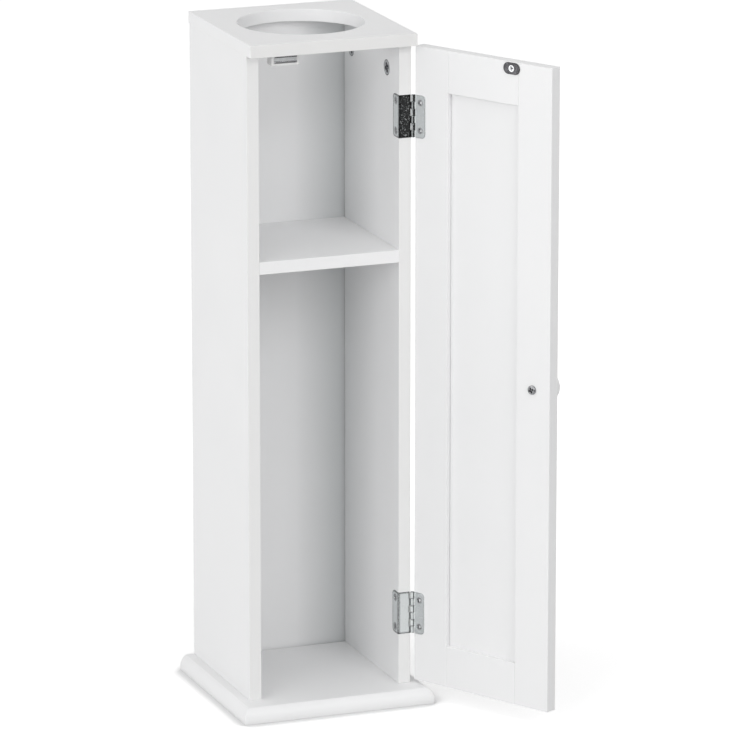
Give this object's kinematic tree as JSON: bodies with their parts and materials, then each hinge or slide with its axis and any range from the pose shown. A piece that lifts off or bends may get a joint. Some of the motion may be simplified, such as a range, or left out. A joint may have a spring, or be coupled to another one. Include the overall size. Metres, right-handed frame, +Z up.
{
  "type": "toilet roll storage cabinet",
  "caption": "Tall narrow white cabinet for spare toilet rolls: moulded base, round hole through the top, fixed shelf and a frame-and-panel door hung on wrap-round butt hinges.",
  "frame": {"origin": "on the floor, at the middle in plan of the base board's underside", "axes": "+Z up, the open front faces -Y, +X to the right seen from the front, which is the side the door hangs on"},
  "size_m": [0.2778, 0.3032, 0.65],
  "materials": {
    "white_board": "satin white paint on fibreboard",
    "hinge_steel": "zinc-plated, bright",
    "screw_steel": "zinc-plated",
    "cam_metal": "die-cast zinc, dulled",
    "strike_steel": "black, satin",
    "catch_plastic": "white moulded plastic",
    "magnet": "pressed ferrite, matt",
    "dowel_wood": "bare beech",
    "knob_white": "semi-gloss white paint"
  },
  "bodies": {
    "carcass": {"top_panel": "white_board", "left_side": "white_board", "right_side": "white_board", "base_plate": "white_board", "shelf": "white_board", "back_panel": "white_board", "cam_locks": "cam_metal", "cam_bolts": "screw_steel", "dowels": "dowel_wood", "base_screws": "screw_steel", "upper_cabinet_leaf": "hinge_steel", "lower_cabinet_leaf": "hinge_steel", "hinge_pins": "hinge_steel", "cabinet_leaf_screws": "screw_steel", "catch_body": "catch_plastic", "catch_poles": "screw_steel", "catch_magnet": "magnet", "catch_screws": "screw_steel"},
    "door": {"door_hinge_stile": "white_board", "door_free_stile": "white_board", "door_top_rail": "white_board", "door_bottom_rail": "white_board", "door_panel": "white_board", "upper_door_leaf": "hinge_steel", "lower_door_leaf": "hinge_steel", "door_leaf_screws": "screw_steel", "strike_plate": "strike_steel", "strike_screw": "screw_steel", "knob": "knob_white", "knob_screw": "screw_steel"}
  },
  "joints": [
    {"name": "door_hinge", "type": "hinge", "parent": "carcass", "child": "door", "pos_m": [0.0831, -0.06725, 0.327], "axis": [0, 0, 1], "range_deg": [-119.3, 70.7]}
  ]
}
